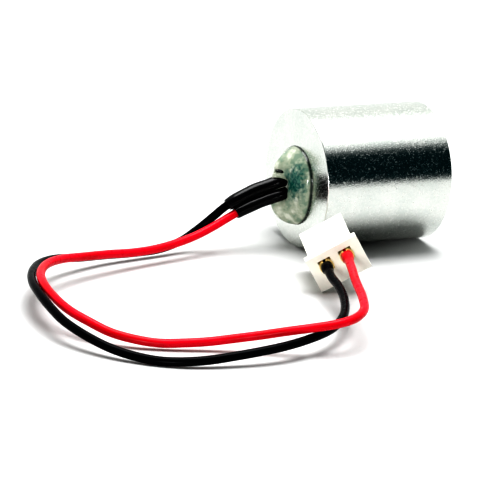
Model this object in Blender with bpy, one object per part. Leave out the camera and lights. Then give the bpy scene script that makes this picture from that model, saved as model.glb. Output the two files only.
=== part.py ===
"""Sealed cylindrical vibration motor with two leads and a two-way crimp connector.

The metal can lies on its side along X.  Its wire end looks towards -X and its closed end
towards +X.  A small brushed motor sits inside in a rubber collar and swings an eccentric
weight.  Z = 0 is the surface that the can lies on, and the origin is under its middle.
"""

import math

import bmesh
import bpy
from mathutils import Vector

MM = 0.001

# ---- driving dimensions ----------------------------------------------------------------
CAN_RADIUS = 8.0 * MM
CAN_LENGTH = 16.0 * MM
DOME_BULGE = 3.0 * MM
WALL = 0.8 * MM
WIRE_HOLE_RADIUS = 3.55 * MM
COVER_THICKNESS = 1.05 * MM
FIT_GAP = 0.05 * MM

MOTOR_RADIUS = 5.5 * MM
MOTOR_WALL = 0.4 * MM
MOTOR_START = 2.0 * MM
MOTOR_END = 9.9 * MM
MOTOR_NOSE = 10.5 * MM
CAP_THICKNESS = 1.1 * MM
SHAFT_RADIUS = 0.5 * MM
SHAFT_BORE = SHAFT_RADIUS + FIT_GAP
BEARING_RADIUS = 1.2 * MM

MAGNET_INNER = 4.0 * MM
MAGNET_HALF_ANGLE = math.radians(62.0)
CORE_RADIUS = 3.6 * MM
CORE_HUB_RADIUS = 1.4 * MM
SHOE_INNER = 2.85 * MM
SHOE_HALF_ANGLE = math.radians(50.0)
ARM_HALF_WIDTH = 0.6 * MM
CORE_START = 6.0 * MM
CORE_END = 8.6 * MM
POLES = 3

WEIGHT_RADIUS = 6.3 * MM
WEIGHT_HUB_RADIUS = 1.7 * MM
WEIGHT_START = 11.1 * MM
WEIGHT_END = 14.3 * MM

LEAD_RADIUS = 0.48 * MM
SLEEVE_RADIUS = 0.69 * MM
LEAD_STEP = 2.2 * MM

PIN_PITCH = 2.5 * MM
PIN_HEIGHT = 0.55 * MM
HOUSING_LENGTH = 8.0 * MM
HOUSING_WIDTH = 5.2 * MM
HOUSING_HEIGHT = 4.2 * MM
FLANGE_LENGTH = 1.0 * MM
FLANGE_WIDTH = 6.2 * MM
FLANGE_HEIGHT = 4.2 * MM

WIRE_FACE_X = (DOME_BULGE - CAN_LENGTH) / 2
CAN_AXIS = (WIRE_FACE_X, 0.0, CAN_RADIUS)

# The connector lies on one long edge, tipped up by the spring of its leads.
CONNECTOR_PLACE = (-9.9 * MM, -17.85 * MM, 3.42 * MM)
CONNECTOR_TIP = math.radians(3.4)
CONNECTOR_ROLL = math.radians(-31.0)
CONNECTOR_TURN = math.radians(-18.1)

# Each lead runs out of the wire end, loops once across the surface and comes back to the
# connector, in millimetres.
RED_ROUTE = (
    (-5.6, -0.2, 6.8), (-6.9, -0.2, 6.6), (-8.2, -0.3, 6.3), (-10.0, -0.3, 5.9),
    (-11.8, -0.4, 5.4), (-13.5, -0.5, 4.8), (-15.1, -0.6, 4.1), (-17.4, -0.9, 3.1),
    (-20.3, -1.6, 2.3), (-24.2, -2.6, 1.8), (-27.8, -3.5, 1.8), (-31.4, -4.6, 2.2),
    (-35.0, -5.9, 2.6), (-38.4, -7.6, 3.1), (-41.0, -9.8, 3.4), (-42.9, -12.8, 3.5),
    (-43.9, -16.3, 3.4), (-44.0, -19.6, 3.0), (-43.5, -22.3, 2.5), (-42.4, -24.7, 2.0),
    (-40.7, -26.8, 1.3), (-38.6, -28.5, 0.9), (-36.4, -29.7, 0.7), (-34.0, -30.6, 0.8),
    (-31.6, -31.4, 1.0), (-29.3, -32.3, 1.4), (-26.9, -33.4, 1.9), (-24.6, -34.5, 2.45),
    (-22.1, -35.4, 2.9), (-19.5, -35.9, 3.25), (-17.1, -35.4, 3.5), (-15.1, -33.6, 3.7),
    (-13.7, -30.6, 3.95), (-12.2, -26.2, 4.2), (-10.7, -22.4, 4.3), (-9.66, -19.58, 4.43),
    (-8.88, -17.21, 4.58),
)
BLACK_ROUTE = (
    (-5.6, 0.1, 7.9), (-6.9, 0.1, 7.9), (-8.2, 0.1, 7.8), (-10.0, 0.0, 7.4),
    (-11.8, 0.0, 6.9), (-13.6, -0.1, 6.2), (-15.4, -0.05, 5.2), (-16.9, 0.2, 3.9),
    (-18.4, 0.5, 2.6), (-20.6, 0.3, 1.4), (-23.5, -0.3, 0.85), (-27.1, -0.9, 0.85),
    (-30.7, -1.6, 1.1), (-34.4, -2.9, 1.5), (-38.0, -4.7, 2.2), (-40.9, -7.4, 2.7),
    (-43.0, -10.7, 3.0), (-44.35, -14.1, 3.1), (-45.05, -17.8, 3.05), (-45.25, -21.4, 2.7),
    (-45.0, -24.8, 2.2), (-43.9, -27.9, 1.6), (-42.3, -30.5, 1.0), (-40.5, -32.5, 0.65),
    (-38.4, -34.2, 0.5), (-36.1, -35.4, 0.6), (-33.7, -36.1, 0.8), (-31.1, -36.5, 1.1),
    (-28.4, -36.7, 1.4), (-25.4, -36.5, 1.65), (-22.4, -35.7, 1.85), (-19.5, -34.3, 2.0),
    (-17.1, -32.3, 2.2), (-15.2, -29.7, 2.4), (-13.7, -26.5, 2.65), (-12.8, -23.5, 2.9),
    (-12.3, -21.0, 3.0), (-11.67, -18.84, 3.15), (-10.89, -16.47, 3.3),
)
# Where each sleeve starts and ends, counted in steps along its lead.
SLEEVE_START = 1
SLEEVE_END = {"red": 4.1, "black": 4.6}

FINISHES = {
    "can_metal": ((0.74, 0.75, 0.76), 0.28, 1.0),
    "cover_metal": ((0.70, 0.71, 0.72), 0.32, 1.0),
    "potting_resin": ((0.42, 0.50, 0.45), 0.15, 0.0),
    "collar_rubber": ((0.05, 0.05, 0.05), 0.80, 0.0),
    "motor_steel": ((0.55, 0.56, 0.58), 0.35, 1.0),
    "cap_nylon": ((0.90, 0.89, 0.84), 0.45, 0.0),
    "magnet_ferrite": ((0.10, 0.10, 0.11), 0.70, 0.0),
    "bearing_bronze": ((0.52, 0.36, 0.18), 0.45, 1.0),
    "brush_copper": ((0.80, 0.50, 0.28), 0.30, 1.0),
    "terminal_brass": ((0.83, 0.66, 0.30), 0.30, 1.0),
    "solder_tin": ((0.66, 0.67, 0.69), 0.35, 1.0),
    "shaft_steel": ((0.62, 0.63, 0.65), 0.20, 1.0),
    "core_steel": ((0.34, 0.35, 0.37), 0.50, 1.0),
    "coil_copper": ((0.72, 0.34, 0.16), 0.35, 1.0),
    "hub_resin": ((0.16, 0.09, 0.06), 0.55, 0.0),
    "washer_fibre": ((0.80, 0.78, 0.70), 0.60, 0.0),
    "weight_tungsten": ((0.30, 0.30, 0.31), 0.45, 1.0),
    "red_insulation": ((0.85, 0.02, 0.05), 0.30, 0.0),
    "black_insulation": ((0.015, 0.015, 0.018), 0.30, 0.0),
    "sleeve_black": ((0.012, 0.012, 0.014), 0.22, 0.0),
    "housing_nylon": ((0.93, 0.91, 0.82), 0.40, 0.0),
    "crimp_brass": ((0.86, 0.66, 0.27), 0.25, 1.0),
}


# ---- helpers ---------------------------------------------------------------------------
def clear_scene():
    """Remove every object that the open file holds."""
    for obj in list(bpy.data.objects):
        bpy.data.objects.remove(obj, do_unlink=True)


def get_material(name):
    """Return the named finish as a Principled BSDF material."""
    if name in bpy.data.materials:
        return bpy.data.materials[name]
    colour, roughness, metallic = FINISHES[name]
    material = bpy.data.materials.new(name)
    material.use_nodes = True
    shader = material.node_tree.nodes["Principled BSDF"]
    shader.inputs["Base Color"].default_value = (*colour, 1.0)
    shader.inputs["Roughness"].default_value = roughness
    shader.inputs["Metallic"].default_value = metallic
    return material


def add_empty(name, place):
    """Add an empty that carries the pieces modelled about its own axes."""
    empty = bpy.data.objects.new(name, None)
    empty.location = place
    bpy.context.collection.objects.link(empty)
    return empty


def add_mesh(name, bm, finish, parent):
    """Turn a bmesh into a named, dressed object under its parent."""
    bmesh.ops.recalc_face_normals(bm, faces=bm.faces)
    mesh = bpy.data.meshes.new(name)
    bm.to_mesh(mesh)
    bm.free()
    mesh.shade_smooth()
    mesh.set_sharp_from_angle(angle=math.radians(30))
    obj = bpy.data.objects.new(name, mesh)
    obj.parent = parent
    bpy.context.collection.objects.link(obj)
    mesh.materials.append(get_material(finish))
    return obj


def turned(name, profile, finish, parent, sides=48):
    """Spin a profile of (depth, radius) points about the parent's X axis.

    A profile that starts and ends on the axis gives a solid; any other is closed on
    itself and gives a ring.
    """
    bm = bmesh.new()
    points = [bm.verts.new((depth, radius, 0.0)) for depth, radius in profile]
    edges = [bm.edges.new(pair) for pair in zip(points, points[1:])]
    if profile[0][1] > 0.0:
        edges.append(bm.edges.new((points[-1], points[0])))
    bmesh.ops.spin(bm, geom=points + edges, cent=(0, 0, 0), axis=(1, 0, 0),
                   angle=math.tau, steps=sides)
    bmesh.ops.remove_doubles(bm, verts=bm.verts, dist=MM * 1e-4)
    return add_mesh(name, bm, finish, parent)


def extruded(name, outline, start, end, finish, parent, axis="X"):
    """Extrude a closed outline from start to end along X, or along Y."""
    bm = bmesh.new()
    if axis == "X":
        points = [bm.verts.new((start, y, z)) for y, z in outline]
        travel = Vector((end - start, 0, 0))
    else:
        points = [bm.verts.new((x, start, z)) for x, z in outline]
        travel = Vector((0, end - start, 0))
    face = bm.faces.new(points)
    grown = bmesh.ops.extrude_face_region(bm, geom=[face])["geom"]
    moved = [item for item in grown if isinstance(item, bmesh.types.BMVert)]
    bmesh.ops.translate(bm, verts=moved, vec=travel)
    return add_mesh(name, bm, finish, parent)


def block(name, low, high, finish, parent):
    """Add a box between its low and high corners."""
    bm = bmesh.new()
    bmesh.ops.create_cube(bm, size=1.0)
    low, high = Vector(low), Vector(high)
    for vert in bm.verts:
        vert.co = (low + high) / 2 + Vector(a * b for a, b in zip(vert.co, high - low))
    return add_mesh(name, bm, finish, parent)


def arc(radius, start, end, steps):
    """Points of an arc in the (y, z) plane, ends included."""
    angles = (start + (end - start) * i / steps for i in range(steps + 1))
    return [(radius * math.cos(a), radius * math.sin(a)) for a in angles]


def arc_bar(name, inner, outer, middle, half_angle, depths, finish, parent, steps=12):
    """Extrude a ring sector about the axis: a magnet or a commutator bar."""
    outline = arc(outer, middle - half_angle, middle + half_angle, steps)
    outline += arc(inner, middle + half_angle, middle - half_angle, steps)
    return extruded(name, outline, *depths, finish, parent)


def cut(target, cutter):
    """Take the cutter's volume out of the target."""
    cutter.hide_render = True
    cutter.display_type = "WIRE"
    modifier = target.modifiers.new("cut " + cutter.name, "BOOLEAN")
    modifier.operation = "DIFFERENCE"
    modifier.solver = "EXACT"
    modifier.object = cutter


def bore(target, radius, depths, parent, sides=24):
    """Cut a round hole along the parent's axis."""
    start, end = depths
    profile = [(start, 0.0), (start, radius), (end, radius), (end, 0.0)]
    cut(target, turned(target.name + " bore", profile, "hub_resin", parent, sides))


def spread_points(route, step):
    """Read evenly spread points from a smooth curve through a route's points."""
    knots = [Vector(point) * MM for point in route]
    knots = [knots[0] * 2 - knots[1], *knots, knots[-1] * 2 - knots[-2]]
    fine = []
    for a, b, c, d in zip(knots, knots[1:], knots[2:], knots[3:]):
        for i in range(20):
            t = i / 20
            bend = (2 * a - 5 * b + 4 * c - d) * t ** 2
            twist = (3 * b - a - 3 * c + d) * t ** 3
            fine.append((2 * b + (c - a) * t + bend + twist) / 2)
    fine.append(knots[-2])
    total = sum((b - a).length for a, b in zip(fine, fine[1:]))
    gap = total / round(total / step)
    spread = [fine[0]]
    walked = 0.0
    for a, b in zip(fine, fine[1:]):
        length = (b - a).length
        while walked + length >= gap * len(spread) - 1e-9:
            spread.append(a.lerp(b, (gap * len(spread) - walked) / length))
        walked += length
    return spread


def tube(name, points, radius, finish, resolution):
    """Add a round bar along points as a bevelled curve with filled ends."""
    curve = bpy.data.curves.new(name, "CURVE")
    curve.dimensions = "3D"
    curve.bevel_depth = radius
    curve.bevel_resolution = resolution
    curve.use_fill_caps = True
    spline = curve.splines.new("POLY")
    spline.points.add(len(points) - 1)
    for slot, point in zip(spline.points, points):
        slot.co = (*point, 1.0)
    curve.materials.append(get_material(finish))
    obj = bpy.data.objects.new(name, curve)
    bpy.context.collection.objects.link(obj)
    return obj


def meshed(obj):
    """Replace a curve object by a mesh object of the same name."""
    name = obj.name
    mesh = bpy.data.meshes.new_from_object(obj)
    bpy.data.objects.remove(obj, do_unlink=True)
    solid = bpy.data.objects.new(name, mesh)
    bpy.context.collection.objects.link(solid)
    return solid


# ---- casing ----------------------------------------------------------------------------
def make_casing(axis):
    """Make the outer can, its pressed-in closing disc and the rubber collar."""
    bore_radius = CAN_RADIUS - WALL
    seat_radius = bore_radius + 0.2 * MM
    seat_depth = CAN_LENGTH - COVER_THICKNESS - FIT_GAP
    edge = 0.12 * MM
    turned("can_shell", [
        (0.0, WIRE_HOLE_RADIUS), (0.0, CAN_RADIUS - edge), (edge, CAN_RADIUS),
        (CAN_LENGTH - 2 * edge, CAN_RADIUS), (CAN_LENGTH, CAN_RADIUS - 2 * edge),
        (CAN_LENGTH, seat_radius), (seat_depth, seat_radius), (seat_depth, bore_radius),
        (WALL, bore_radius), (WALL, WIRE_HOLE_RADIUS),
    ], "can_metal", axis, sides=72)
    cover_radius = seat_radius - FIT_GAP
    cover_start = CAN_LENGTH - COVER_THICKNESS
    turned("rear_cover", [
        (cover_start, 0.0), (cover_start, cover_radius),
        (CAN_LENGTH - edge, cover_radius), (CAN_LENGTH, cover_radius - edge),
        (CAN_LENGTH, 0.0),
    ], "cover_metal", axis, sides=72)
    collar_inner = MOTOR_RADIUS + FIT_GAP
    collar_outer = bore_radius - FIT_GAP
    collar_start = WALL + FIT_GAP
    collar_end = 9.0 * MM
    turned("motor_collar", [
        (collar_start, collar_inner), (collar_start, collar_outer),
        (collar_end, collar_outer), (collar_end, collar_inner),
    ], "collar_rubber", axis, sides=48)


def make_potting(axis, red_points, black_points):
    """Make the sealing resin: a plug in the wire hole that swells into a sagging dome."""
    plug_radius = WIRE_HOLE_RADIUS - 0.1 * MM
    pocket_radius = 2.9 * MM
    pocket_depth = 0.3 * MM
    plug_end = MOTOR_START - 0.1 * MM
    lift = 0.06 * MM
    steps = 10
    profile = [(pocket_depth, 0.0), (pocket_depth, pocket_radius),
               (plug_end, pocket_radius), (plug_end, plug_radius), (-lift, plug_radius)]
    for i in range(1, steps + 1):
        swing = math.pi / 2 * i / steps
        depth = -lift - (DOME_BULGE - lift) * math.sin(swing)
        radius = plug_radius * math.cos(swing) if i < steps else 0.0
        profile.append((depth, radius))
    dome = turned("potting_dome", profile, "potting_resin", axis, sides=36)
    sag = 1.35
    for vert in dome.data.vertices:
        if vert.co.x < -1.5 * lift and vert.co.z < 0.0:
            vert.co.z *= sag
    for name, points in (("red", red_points), ("black", black_points)):
        passage = tube(name + " passage", points[:5], SLEEVE_RADIUS + 0.08 * MM,
                       "potting_resin", 4)
        cut(dome, meshed(passage))


# ---- motor: the fixed part -------------------------------------------------------------
def make_stator(axis):
    """Make the small motor's can, magnets, end cap and bearings."""
    inner = MOTOR_RADIUS - MOTOR_WALL
    nose_bore = BEARING_RADIUS + FIT_GAP
    nose_outer = nose_bore + MOTOR_WALL
    turned("motor_can", [
        (MOTOR_START, inner), (MOTOR_START, MOTOR_RADIUS),
        (MOTOR_END - MOTOR_WALL / 2, MOTOR_RADIUS),
        (MOTOR_END, MOTOR_RADIUS - MOTOR_WALL / 2), (MOTOR_END, nose_outer),
        (MOTOR_NOSE, nose_outer), (MOTOR_NOSE, nose_bore),
        (MOTOR_END - MOTOR_WALL, nose_bore), (MOTOR_END - MOTOR_WALL, inner),
    ], "motor_steel", axis)
    cap_start = MOTOR_START + FIT_GAP
    cap_end = cap_start + CAP_THICKNESS
    cap = turned("brush_cap", [
        (cap_start, nose_bore), (cap_start, inner - FIT_GAP),
        (cap_end, inner - FIT_GAP), (cap_end, nose_bore),
    ], "cap_nylon", axis)
    for side in (-1, 1):
        z_near, z_far = sorted((side * 2.25 * MM, side * 2.65 * MM))
        slot = block(f"cap slot {side}", (cap_start - MM, -0.5 * MM, z_near),
                     (cap_end + MM, 0.5 * MM, z_far), "cap_nylon", axis)
        cut(cap, slot)
    for name, start, end in (("rear_bearing", 2.15 * MM, 3.35 * MM),
                             ("front_bearing", 9.4 * MM, 10.4 * MM)):
        turned(name, [(start, SHAFT_BORE), (start, BEARING_RADIUS),
                      (end, BEARING_RADIUS), (end, SHAFT_BORE)],
               "bearing_bronze", axis, sides=32)
    for name, middle in (("magnet_upper", math.pi / 2), ("magnet_lower", -math.pi / 2)):
        arc_bar(name, MAGNET_INNER, inner - FIT_GAP, middle, MAGNET_HALF_ANGLE,
                (4.4 * MM, 9.2 * MM), "magnet_ferrite", axis)


def make_brush_gear(axis):
    """Make both terminals with their solder joints and the brushes behind them."""
    tab_low = MOTOR_START - 0.25 * MM
    tab_high = MOTOR_START - FIT_GAP
    leg_end = 4.0 * MM
    leg_near, leg_far = 2.35 * MM, 2.55 * MM
    half_width = 0.4 * MM
    joints = (("black", 1, -0.45 * MM, -0.1 * MM), ("red", -1, 0.85 * MM, 1.2 * MM))
    for colour, side, tab_tip, solder_height in joints:
        outline = [(tab_low, leg_far), (leg_end, leg_far), (leg_end, leg_near),
                   (tab_high, leg_near), (tab_high, tab_tip), (tab_low, tab_tip)]
        outline = [(x, side * z) for x, z in outline]
        extruded(f"terminal_{colour}", outline, -half_width, half_width,
                 "terminal_brass", axis, axis="Y")
        height = side * solder_height
        solder = turned(f"solder_{colour}", [
            (0.98 * MM, 0.0), (0.98 * MM, 0.3 * MM), (1.3 * MM, 0.42 * MM),
            (1.6 * MM, 0.42 * MM), (1.7 * MM, 0.38 * MM), (1.7 * MM, 0.0),
        ], "solder_tin", axis, sides=16)
        for vert in solder.data.vertices:
            vert.co.z += height
        arm = [(-half_width, 2.15 * MM), (-half_width, 2.3 * MM), (1.72 * MM, 2.3 * MM),
               (1.72 * MM, -0.6 * MM), (1.57 * MM, -0.6 * MM), (1.57 * MM, 2.15 * MM)]
        arm = [(side * y, side * z) for y, z in arm]
        extruded(f"brush_{colour}", arm, 4.1 * MM, 4.8 * MM, "brush_copper", axis)


# ---- motor: the turning part -----------------------------------------------------------
def core_outline():
    """Outline of one lamination: three arms that end in pole shoes."""
    outline = []
    hub_half = math.asin(ARM_HALF_WIDTH / CORE_HUB_RADIUS)
    shoe_half = math.asin(ARM_HALF_WIDTH / SHOE_INNER)
    for pole in range(POLES):
        middle = math.pi / 2 + pole * math.tau / POLES
        next_middle = middle + math.tau / POLES
        outline += arc(SHOE_INNER, middle - shoe_half, middle - SHOE_HALF_ANGLE, 4)
        outline += arc(CORE_RADIUS, middle - SHOE_HALF_ANGLE, middle + SHOE_HALF_ANGLE, 10)
        outline += arc(SHOE_INNER, middle + SHOE_HALF_ANGLE, middle + shoe_half, 4)
        outline += arc(CORE_HUB_RADIUS, middle + hub_half, next_middle - hub_half, 4)
    return outline


def make_rotor(axis):
    """Make the shaft and all that turns with it."""
    turned("shaft", [
        (2.3 * MM, 0.0), (2.3 * MM, 0.42 * MM), (2.38 * MM, SHAFT_RADIUS),
        (14.32 * MM, SHAFT_RADIUS), (14.4 * MM, 0.42 * MM), (14.4 * MM, 0.0),
    ], "shaft_steel", axis, sides=24)
    core = extruded("rotor_core", core_outline(), CORE_START, CORE_END, "core_steel", axis)
    bore(core, SHAFT_BORE, (CORE_START - MM, CORE_END + MM), axis)
    half_hole = ARM_HALF_WIDTH + FIT_GAP
    build_up = 0.5 * MM
    low, high = 1.75 * MM, 2.5 * MM
    for pole, letter in enumerate("abc"):
        turn = pole * math.tau / POLES
        coil = block(f"coil_{letter}",
                     (CORE_START - build_up, -half_hole - build_up, low),
                     (CORE_END + build_up, half_hole + build_up, high),
                     "coil_copper", axis)
        window = block(f"coil window {letter}",
                       (CORE_START - FIT_GAP, -half_hole, low - MM),
                       (CORE_END + FIT_GAP, half_hole, high + MM),
                       "coil_copper", axis)
        for obj in (coil, window):
            obj.rotation_euler.x = turn
        cut(coil, window)
        arc_bar(f"commutator_bar_{letter}", 1.2 * MM, 1.5 * MM, math.pi / 2 + turn,
                math.radians(56), (3.8 * MM, 5.2 * MM), "brush_copper", axis, steps=8)
    turned("commutator_hub", [
        (3.7 * MM, SHAFT_BORE), (3.7 * MM, 1.15 * MM), (5.4 * MM, 1.15 * MM),
        (5.4 * MM, SHAFT_BORE),
    ], "hub_resin", axis, sides=32)
    for name, start in (("thrust_washer_rear", 3.42 * MM), ("thrust_washer_front", 9.2 * MM)):
        end = start + 0.15 * MM
        turned(name, [(start, SHAFT_BORE), (start, MM), (end, MM), (end, SHAFT_BORE)],
               "washer_fibre", axis, sides=24)
    outline = arc(WEIGHT_RADIUS, math.pi, math.tau, 24)
    outline += arc(WEIGHT_HUB_RADIUS, 0.0, math.pi, 10)
    weight = extruded("eccentric_weight", outline, WEIGHT_START, WEIGHT_END,
                      "weight_tungsten", axis)
    bore(weight, SHAFT_BORE, (WEIGHT_START - MM, WEIGHT_END + MM), axis)


# ---- leads and connector ---------------------------------------------------------------
def make_leads(red_points, black_points):
    """Make both leads and the shrunk sleeve over the start of each."""
    for colour, points in (("red", red_points), ("black", black_points)):
        tube(f"{colour}_lead", points, LEAD_RADIUS, f"{colour}_insulation", 2)
        last = int(SLEEVE_END[colour])
        tip = points[last].lerp(points[last + 1], SLEEVE_END[colour] - last)
        covered = [*points[SLEEVE_START:last + 1], tip]
        sleeve = tube(f"sleeve_{colour}", covered, SLEEVE_RADIUS, "sleeve_black", 4)
        passage = tube(f"{colour} sleeve bore", points[:last + 2],
                       LEAD_RADIUS + 0.07 * MM, "sleeve_black", 4)
        cut(meshed(sleeve), meshed(passage))


def make_housing(frame):
    """Make the moulded housing, with a stepped wire end and two cavities."""
    sections = (
        (0.0, FLANGE_WIDTH, FLANGE_HEIGHT), (FLANGE_LENGTH, FLANGE_WIDTH, FLANGE_HEIGHT),
        (FLANGE_LENGTH, HOUSING_WIDTH, HOUSING_HEIGHT - 0.2 * MM),
        (HOUSING_LENGTH, HOUSING_WIDTH, HOUSING_HEIGHT - 0.2 * MM),
    )
    bm = bmesh.new()
    rings = []
    for y, width, height in sections:
        corners = ((-1, -1), (1, -1), (1, 1), (-1, 1))
        rings.append([bm.verts.new((a * width / 2, y, b * height / 2)) for a, b in corners])
    for near, far in zip(rings, rings[1:]):
        for i in range(4):
            j = (i + 1) % 4
            bm.faces.new((near[i], near[j], far[j], far[i]))
    bm.faces.new(rings[0])
    bm.faces.new(rings[-1])
    housing = add_mesh("connector_housing", bm, "housing_nylon", frame)
    for side in (-1, 1):
        x = side * PIN_PITCH / 2
        cuts = (
            ("cavity", 0.80, -1.0, 6.0, -0.80, 0.75),
            ("socket", 0.45, 5.5, 9.0, -0.45, 0.45),
            ("window", 0.40, 4.3, 5.4, 0.5, 2.2),
        )
        for label, half, y_low, y_high, z_low, z_high in cuts:
            low = (x - half * MM, y_low * MM, PIN_HEIGHT + z_low * MM)
            high = (x + half * MM, y_high * MM, PIN_HEIGHT + z_high * MM)
            cut(housing, block(f"{label} {side}", low, high, "housing_nylon", frame))


def make_crimps(frame):
    """Make the two crimped contacts, open channels that hold the leads' ends."""
    inside, outside = 0.57 * MM, 0.70 * MM
    start, end = -0.35 * MM, 5.8 * MM
    for colour, side in (("red", 1), ("black", -1)):
        x = side * PIN_PITCH / 2
        wing_top = PIN_HEIGHT + 0.42 * MM
        floor = PIN_HEIGHT - inside
        corner = 0.3 * MM
        outline = [
            (x - outside, wing_top), (x - outside, floor + corner - 0.13 * MM),
            (x - outside + corner, floor - 0.13 * MM),
            (x + outside - corner, floor - 0.13 * MM),
            (x + outside, floor + corner - 0.13 * MM), (x + outside, wing_top),
            (x + inside, wing_top), (x + inside, floor + corner - 0.05 * MM),
            (x + inside - corner + 0.05 * MM, floor),
            (x - inside + corner - 0.05 * MM, floor),
            (x - inside, floor + corner - 0.05 * MM), (x - inside, wing_top),
        ]
        extruded(f"crimp_{colour}", outline, start, end, "crimp_brass", frame, axis="Y")


def main():
    """Build the whole motor."""
    clear_scene()
    can_axis = add_empty("can axis", CAN_AXIS)
    rotor_axis = add_empty("rotor axis", CAN_AXIS)
    connector = add_empty("connector frame", CONNECTOR_PLACE)
    connector.rotation_mode = "YXZ"
    connector.rotation_euler = (CONNECTOR_TIP, CONNECTOR_ROLL, CONNECTOR_TURN)

    red_points = spread_points(RED_ROUTE, LEAD_STEP)
    black_points = spread_points(BLACK_ROUTE, LEAD_STEP)
    make_casing(can_axis)
    make_potting(can_axis, red_points, black_points)
    make_stator(can_axis)
    make_brush_gear(can_axis)
    make_rotor(rotor_axis)
    make_leads(red_points, black_points)
    make_housing(connector)
    make_crimps(connector)


main()
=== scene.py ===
"""Looks of a sealed cylindrical vibration motor with two leads and a crimp connector.

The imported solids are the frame.  Every piece that shows its edges or its surface is modelled
again here, in the same place, with the details that the plain solid leaves out.  Lengths are
in metres, the can lies along X, and the surface that it lies on is Z = 0.
"""

import logging
import math
from collections.abc import Callable, Iterator, Sequence
from contextlib import contextmanager
from dataclasses import dataclass, field
from enum import Enum

import bmesh
import bpy
from mathutils import Euler, Matrix, Vector

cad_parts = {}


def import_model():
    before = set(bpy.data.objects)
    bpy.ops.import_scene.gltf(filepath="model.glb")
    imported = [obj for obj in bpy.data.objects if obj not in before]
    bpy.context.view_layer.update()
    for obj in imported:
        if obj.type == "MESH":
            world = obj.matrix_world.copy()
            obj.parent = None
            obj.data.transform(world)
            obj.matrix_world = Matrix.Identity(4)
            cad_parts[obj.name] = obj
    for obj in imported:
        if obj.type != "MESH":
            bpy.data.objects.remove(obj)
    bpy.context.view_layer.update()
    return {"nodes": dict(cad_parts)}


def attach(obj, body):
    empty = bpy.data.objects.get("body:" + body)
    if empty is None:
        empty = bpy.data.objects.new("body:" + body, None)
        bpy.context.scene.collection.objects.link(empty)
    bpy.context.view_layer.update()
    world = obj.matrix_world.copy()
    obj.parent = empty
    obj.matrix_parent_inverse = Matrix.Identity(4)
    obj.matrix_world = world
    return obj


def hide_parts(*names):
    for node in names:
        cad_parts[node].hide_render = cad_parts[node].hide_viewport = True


MM = 0.001
CASING = "casing"
ROTOR = "rotor"
CAN_AXIS = Vector((-6.5, 0.0, 8.0)) * MM
# The resin's material paints shade, near black, into this pit.
RESIN_PIT = (-0.30, 1.05)  # (y, z) from the can's axis of the pit over the sleeves, in mm
CURVE_STEPS = 20  # points of the fine curve between two points of a route

Object = bpy.types.Object
Socket = bpy.types.NodeSocket
Pair = tuple[float, float]
Point = tuple[float, float, float]
Colour = tuple[float, float, float]
Outline = Sequence[Pair]
Source = Socket | float | Colour

log = logging.getLogger("vibration_motor")


# ---- modelling bench ----
def pick_only(obj: Object) -> None:
    """Make an object the one that is selected and active.

    Args:
        obj: The object to work on.
    """
    bpy.ops.object.select_all(action="DESELECT")
    obj.select_set(True)
    bpy.context.view_layer.objects.active = obj


@contextmanager
def editing(obj: Object, mode: str = "VERT") -> Iterator[None]:
    """Open an object in edit mode with everything selected, and close it at the end.

    Args:
        obj: The mesh object to open.
        mode: What is selected in it: VERT, EDGE or FACE.
    """
    pick_only(obj)
    bpy.ops.object.mode_set(mode="EDIT")
    bpy.ops.mesh.select_mode(type=mode)
    bpy.ops.mesh.select_all(action="SELECT")
    yield
    bpy.ops.object.mode_set(mode="OBJECT")


def select_where(obj: Object, kind: str, test: Callable[..., bool]) -> None:
    """Select in an open mesh what passes a test, and nothing else.

    Args:
        obj: The object that is open in edit mode.
        kind: "verts", "edges" or "faces".
        test: Takes one of them and says whether it is selected.
    """
    bpy.ops.mesh.select_all(action="DESELECT")
    bm = bmesh.from_edit_mesh(obj.data)
    for item in getattr(bm, kind):
        if test(item):
            item.select_set(True)
    bm.select_flush_mode()
    bmesh.update_edit_mesh(obj.data)


def clean(obj: Object) -> None:
    """Merge doubled points and turn every face outwards."""
    with editing(obj):
        bpy.ops.mesh.remove_doubles(threshold=1e-7)
        bpy.ops.mesh.normals_make_consistent(inside=False)


def extrude(travel: Point) -> None:
    """Extrude what is selected in the open mesh; the travel is in millimetres."""
    step = tuple(along * MM for along in travel)
    bpy.ops.mesh.extrude_region_move(TRANSFORM_OT_translate={"value": step})


def from_axis(depth: float, y: float, z: float) -> Vector:
    """A place in metres, from a depth and offsets from the can's axis in millimetres."""
    return CAN_AXIS + Vector((depth, y, z)) * MM


def chain(name: str, points: Sequence[Point], closed: bool) -> Object:
    """Draw a line of joined points by extruding one point from place to place.

    Args:
        name: The new object's name.
        points: The places that the line goes through.
        closed: Whether the last point is joined to the first.

    Returns:
        The new object, which holds edges only.
    """
    bpy.ops.mesh.primitive_plane_add(size=MM, location=points[0])
    obj = bpy.context.object
    obj.name = name
    bpy.ops.object.transform_apply()
    bpy.ops.object.mode_set(mode="EDIT")
    bpy.ops.mesh.select_mode(type="VERT")
    bpy.ops.mesh.select_all(action="SELECT")
    bpy.ops.mesh.merge(type="CENTER")
    for near, far in zip(points, points[1:]):
        step = tuple(Vector(far) - Vector(near))
        bpy.ops.mesh.extrude_vertices_move(TRANSFORM_OT_translate={"value": step})
    if closed:
        ends = (0, len(points) - 1)
        select_where(obj, "verts", lambda vert: vert.index in ends)
        bpy.ops.mesh.edge_face_add()
    bpy.ops.object.mode_set(mode="OBJECT")
    return obj


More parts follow.
